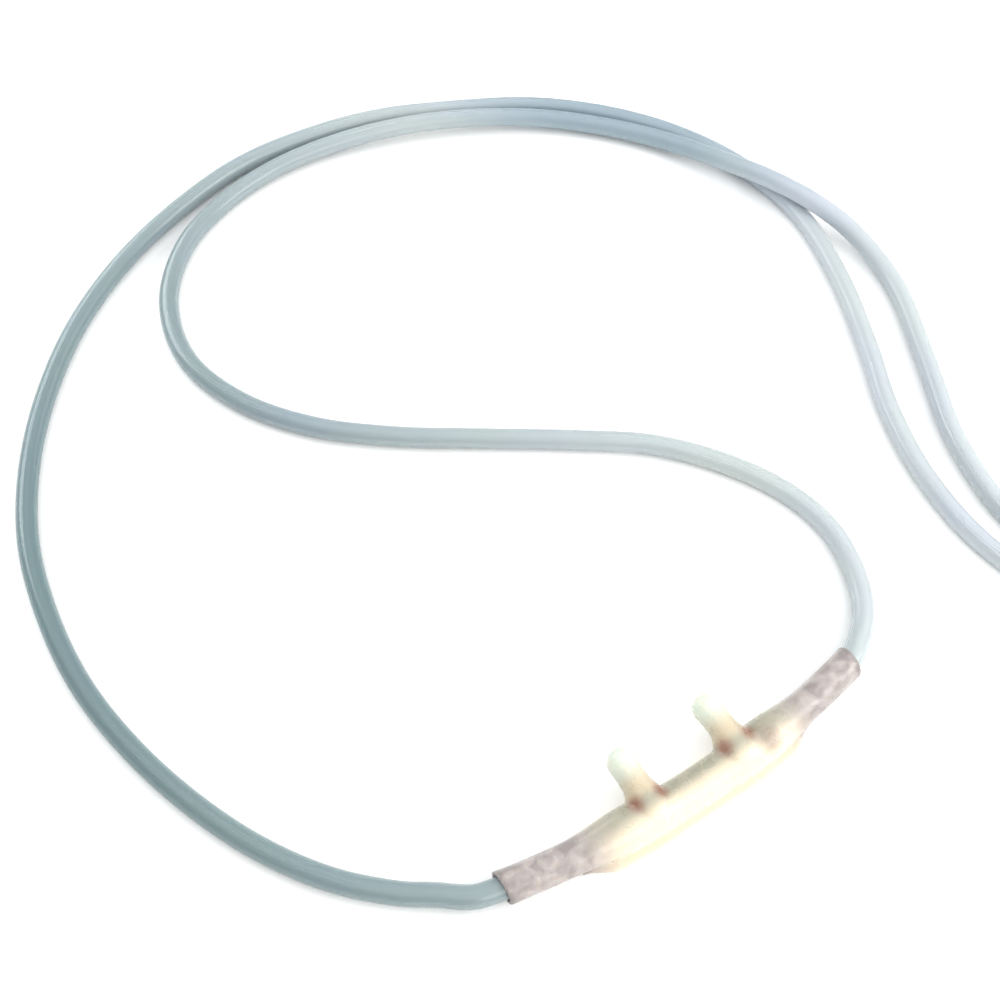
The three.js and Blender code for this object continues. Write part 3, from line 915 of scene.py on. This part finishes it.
def tube_finish(name, painted_shade_tint, green_tint, blue_tint, clear, density):
    made, tree, vinyl = new_finish(name)
    place = add_node(tree, "ShaderNodeAttribute", {"attribute_name": "place_on_tube"})
    marks = use_group(tree, extrusion, Place=place.outputs["Vector"], Line_Density=density)
    tint = mix_colours(tree, marks.outputs["Drift"], green_tint, blue_tint)
    # Painted shade: the tint darkens towards the left of the loop and clears towards the right,
    # standing in for light that is stronger on the right.
    where = add_node(tree, "ShaderNodeTexCoord").outputs["Object"]
    across = add_node(tree, "ShaderNodeVectorMath", {"operation": "DOT_PRODUCT"}, Vector=where)
    across.inputs[1].default_value = (1, -0.15, 0)
    tint = mix_colours(
        tree, remap(tree, across.outputs["Value"], *SHADE_TO_LIGHT_SPAN, 0.0, 1.0), painted_shade_tint, tint
    )
    bend = add_node(tree, "ShaderNodeVectorMath", {"operation": "DISTANCE"}, Vector=where)
    bend.inputs[1].default_value = BLUE_BEND
    tint = mix_colours(
        tree, remap(tree, bend.outputs["Value"], 10 * MM, 50 * MM, 0.85, 0.0), tint, BEND_BLUE
    )
    tree.links.new(tint, vinyl.inputs["Base Color"])
    rough = remap(tree, marks.outputs["Lines"], 0.3, 0.7, 0.18, 0.28)
    tree.links.new(rough, vinyl.inputs["Roughness"])
    bump = add_node(tree, "ShaderNodeBump", Height=marks.outputs["Lines"], Strength=0.08,
                    Distance=0.05 * MM)
    tree.links.new(bump.outputs[0], vinyl.inputs["Normal"])
    vinyl.inputs["Transmission Weight"].default_value = clear
    vinyl.inputs["IOR"].default_value = 1.5
    vinyl.inputs["Subsurface Weight"].default_value = 0.3
    vinyl.inputs["Subsurface Scale"].default_value = 1.5 * MM
    vinyl.inputs["Subsurface Radius"].default_value = (0.8, 1.0, 1.0)
    return made


# The first colour of each finish is the painted shade at the left of the loop.
branch_vinyl = tube_finish(
    "branch_tube_vinyl", colour(118, 146, 150), colour(215, 223, 221), colour(209, 216, 225),
    0.45, 900.0,
)
supply_vinyl = tube_finish(
    "supply_tube_vinyl", colour(150, 172, 176), colour(220, 230, 226), colour(216, 226, 234),
    0.55, 700.0,
)

# %% [markdown]
# ### Nosepiece vinyl
# It is softer and warmer than the tubes. The lip and lower front are a painted-light
# cream, the top and back of the hollow body a painted-shade grey-green, and the sockets,
# with a tube inside, go towards mauve. Painted shade also darkens each prong root and
# the top of the body beside the right prong.

# %% Finish: nosepiece
# The cream is painted light on the lip and lower front, and also the clouds' colour there; the
# grey-green is painted shade on the top and back of the body.
CREAM_LIGHT_AND_CLOUD = colour(236, 222, 198)
BEIGE = colour(200, 187, 162)
GREY_GREEN_PAINTED_SHADE = colour(162, 160, 143)
TIP_WHITE = colour(216, 224, 210)
MAUVE = colour(184, 175, 171)
MOTTLE = colour(112, 102, 104)
# The next two colours are painted shade: the dark round each prong root and over the passage inside
# the body.
ROOT_PAINTED_SHADE = colour(140, 74, 56)
HOLLOW_PAINTED_SHADE = colour(140, 124, 114)
MOUTH_GREY = colour(118, 112, 112)
soft_vinyl, tree, vinyl = new_finish("soft_nosepiece_vinyl")
place = add_node(tree, "ShaderNodeTexCoord").outputs["Object"]
haze = use_group(tree, haze_group, Place=place, Cloud_Scale=420.0, Peel_Scale=2200.0)
parts = add_node(tree, "ShaderNodeSeparateXYZ", Vector=place)


def calculate(operation, *values):
    made = add_node(tree, "ShaderNodeMath", {"operation": operation})
    for value, socket in zip(values, made.inputs):
        join(tree, value, socket)
    return made.outputs[0]


def near(x, y, z, reach):
    """A soft mask round a point; x is measured from the place given, y and z from there."""
    apart = add_node(tree, "ShaderNodeCombineXYZ", X=x, Y=y, Z=z)
    length = add_node(tree, "ShaderNodeVectorMath", {"operation": "LENGTH"},
                      Vector=apart.outputs[0])
    return remap(tree, length.outputs["Value"], reach * 0.25, reach, 1.0, 0.0)


along, over, height = (parts.outputs[axis] for axis in "XYZ")
outward = calculate("ABSOLUTE", along)
# Painted shade: the top and back of the body turn grey-green, while the lower front keeps the
# painted-light cream.
top = remap(tree, height, 2.6 * MM, 5.2 * MM, 0.0, 1.0)
back = remap(tree, over, -1.5 * MM, 1.5 * MM, 0.0, 1.0)
skin = mix_colours(tree, calculate("MULTIPLY", top, back), CREAM_LIGHT_AND_CLOUD, GREY_GREEN_PAINTED_SHADE)
aside = calculate("ABSOLUTE", calculate("SUBTRACT", outward, PRONG_SPACING / 2))
collar = calculate("MULTIPLY", remap(tree, aside, 2.4 * MM, 3.6 * MM, 1.0, 0.0),
                   remap(tree, over, 1.5 * MM, 3.5 * MM, 0.0, 1.0))
skin = mix_colours(tree, collar, skin, BEIGE)
tip = remap(tree, over, 4 * MM, 8.5 * MM, 0.0, 1.0)
skin = mix_colours(tree, tip, skin, TIP_WHITE)
socket = remap(tree, outward, 14 * MM, 23 * MM, 0.0, 1.0)
skin = mix_colours(tree, socket, skin, MAUVE)
mouth = remap(tree, outward, SOCKET_END - 1.4 * MM, SOCKET_END, 0.0, 0.7)
skin = mix_colours(tree, mouth, skin, MOUTH_GREY)
# Painted shade: a brown-red darkening beside each prong root, where the bore behind it is in shade.
root = near(calculate("SUBTRACT", aside, 1.9 * MM), calculate("SUBTRACT", over, 1.9 * MM),
            calculate("SUBTRACT", height, 6 * MM), 2.4 * MM)
skin = mix_colours(tree, calculate("MULTIPLY", root, 0.75), skin, ROOT_PAINTED_SHADE)
# Painted shade: a grey darkening on the top of the body beside the right prong, over the passage
# inside.
hollow = near(calculate("SUBTRACT", along, 13.2 * MM), calculate("ADD", over, 0.4 * MM),
              calculate("SUBTRACT", height, 6 * MM), 3.2 * MM)
skin = mix_colours(tree, calculate("MULTIPLY", hollow, 0.7), skin, HOLLOW_PAINTED_SHADE)
# Away from the sockets the clouds lean to the same cream that paints the light on the front.
mottle = mix_colours(tree, socket, CREAM_LIGHT_AND_CLOUD, MOTTLE)
cloudiness = remap(tree, socket, 0.0, 1.0, 0.12, 0.5)
mottled = mix_colours(tree, calculate("MULTIPLY", haze.outputs["Clouds"], cloudiness), skin, mottle)
tree.links.new(mottled, vinyl.inputs["Base Color"])
tree.links.new(remap(tree, haze.outputs["Clouds"], 0.0, 1.0, 0.24, 0.36), vinyl.inputs["Roughness"])
bump = add_node(tree, "ShaderNodeBump", Height=haze.outputs["Peel"], Strength=0.05, Distance=0.05 * MM)
tree.links.new(bump.outputs[0], vinyl.inputs["Normal"])
vinyl.inputs["Transmission Weight"].default_value = 0.08
vinyl.inputs["IOR"].default_value = 1.45
vinyl.inputs["Subsurface Weight"].default_value = 0.6
vinyl.inputs["Subsurface Scale"].default_value = 1.2 * MM
vinyl.inputs["Subsurface Radius"].default_value = (1.0, 0.7, 0.5)

# %% [markdown]
# ### Moulded vinyl
# The adjuster, the Y connector and the funnel are injection moulded. They are glossier
# where the mould was polished, and the funnel is the milkiest.

# %% Finish: moulded pieces
def moulded_finish(name, tint, cloud_tint, clear, smooth):
    made, tree, vinyl = new_finish(name)
    place = add_node(tree, "ShaderNodeTexCoord").outputs["Object"]
    haze = use_group(tree, haze_group, Place=place, Cloud_Scale=320.0, Peel_Scale=3000.0)
    tree.links.new(
        mix_colours(tree, haze.outputs["Clouds"], tint, cloud_tint), vinyl.inputs["Base Color"]
    )
    rough = remap(tree, haze.outputs["Clouds"], 0.0, 1.0, smooth, smooth + 0.1)
    tree.links.new(rough, vinyl.inputs["Roughness"])
    bump = add_node(tree, "ShaderNodeBump", Height=haze.outputs["Peel"], Strength=0.08,
                    Distance=0.05 * MM)
    tree.links.new(bump.outputs[0], vinyl.inputs["Normal"])
    vinyl.inputs["Transmission Weight"].default_value = clear
    vinyl.inputs["IOR"].default_value = 1.5
    return made


clear_moulding = moulded_finish(
    "clear_moulding", colour(212, 224, 226), colour(198, 212, 218), 0.35, 0.14
)
funnel_moulding = moulded_finish(
    "funnel_moulding", colour(210, 222, 222), colour(194, 210, 214), 0.25, 0.24
)

# %% Finish: tie
tie_coating, tree, plastic = new_finish("tie_coating")
place = add_node(tree, "ShaderNodeTexCoord").outputs["Object"]
haze = use_group(tree, haze_group, Place=place, Cloud_Scale=500.0, Peel_Scale=4000.0)
tree.links.new(
    mix_colours(tree, haze.outputs["Clouds"], colour(244, 244, 240), colour(226, 228, 228)),
    plastic.inputs["Base Color"],
)
tree.links.new(remap(tree, haze.outputs["Clouds"], 0.0, 1.0, 0.4, 0.55), plastic.inputs["Roughness"])
bump = add_node(tree, "ShaderNodeBump", Height=haze.outputs["Peel"], Strength=0.15, Distance=0.05 * MM)
tree.links.new(bump.outputs[0], plastic.inputs["Normal"])

# %% [markdown]
# ## Putting the finishes on, and fixing each piece to its body
# The slide adjuster moves along the tubes, so it rides on its own body. The rest is the
# cannula's own body. The CAD solids that each piece stands for are hidden.

# %% Pieces to bodies
for piece, finish, body, slot, nodes in (
    (left_branch, branch_vinyl, "cannula", "clear_tubing", ["left_tube"]),
    (right_branch, branch_vinyl, "cannula", "clear_tubing", ["right_tube"]),
    (supply_tube, supply_vinyl, "cannula", "clear_tubing",
     ["supply_tube", "supply_coil", "supply_tail"]),
    (nosepiece, soft_vinyl, "cannula", "soft_nosepiece", ["nosepiece"]),
    (adjuster, clear_moulding, "adjuster", "moulded_vinyl", ["slide_adjuster"]),
    (y_piece, clear_moulding, "cannula", "moulded_vinyl", ["y_connector"]),
    (funnel, funnel_moulding, "cannula", "moulded_vinyl", ["end_connector"]),
    (tie, tie_coating, "cannula", "moulded_vinyl", []),
):
    piece.data.materials.clear()
    piece.data.materials.append(finish)
    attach(piece, body)
    if nodes:
        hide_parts(*nodes)

# %% [markdown]
# ## Floor and light
# A product photograph on white, exposed until the pale floor is pure white. A large soft
# light hangs above, a low one behind puts a sheen along the far tubes, and the key and
# the fill come from the right and the front, where the nosepiece glows.

# %% Floor
clear_selection()
bpy.ops.mesh.primitive_plane_add(size=6, location=(0, 0, 0))
floor = bpy.context.object
floor.name = "studio_floor"
floor_paint, tree, paint = new_finish("studio_white")
place = add_node(tree, "ShaderNodeTexCoord").outputs["Object"]
grain = add_node(tree, "ShaderNodeTexNoise", Vector=place, Scale=40.0)
tree.links.new(
    mix_colours(tree, grain.outputs[0], colour(248, 248, 247), colour(250, 250, 250)),
    paint.inputs["Base Color"],
)
paint.inputs["Roughness"].default_value = 0.9
floor.data.materials.append(floor_paint)

# %% Lights
def soft_light(name, place, target, size, power, tint):
    place, target = Vector(place), Vector(target)
    bpy.ops.object.light_add(
        type="AREA", location=place,
        rotation=(target - place).to_track_quat("-Z", "Y").to_euler(),
    )
    light = bpy.context.object
    light.name = name
    light.data.shape = "RECTANGLE"
    light.data.size, light.data.size_y = size
    light.data.energy = power
    light.data.color = tint
    return light


soft_light("overhead", (0.05, 0.05, 1.1), (0.05, 0.05, 0), (1.6, 1.6), 9, (1, 1, 1))
soft_light("back_window", (-0.12, 0.42, 0.2), (0, 0.14, 0), (0.3, 0.2), 1.0, (0.96, 0.99, 1))
soft_light("right_window", (0.42, 0.05, 0.25), (0.05, 0.05, 0), (0.3, 0.3), 0.5, (1, 1, 1))
soft_light("right_key", (0.35, -0.3, 0.3), (0.02, 0.02, 0), (0.3, 0.3), 1.5, (1, 0.99, 0.97))
soft_light("front_fill", (0, -0.4, 0.3), (0, 0.02, 0), (0.4, 0.3), 1.3, (1, 0.98, 0.95))
world = bpy.data.worlds.new("studio")
world.use_nodes = True
world.node_tree.nodes["Background"].inputs["Color"].default_value = (0.95, 0.98, 1, 1)
world.node_tree.nodes["Background"].inputs["Strength"].default_value = 0.5
bpy.context.scene.world = world
bpy.context.scene.view_settings.view_transform = "Standard"
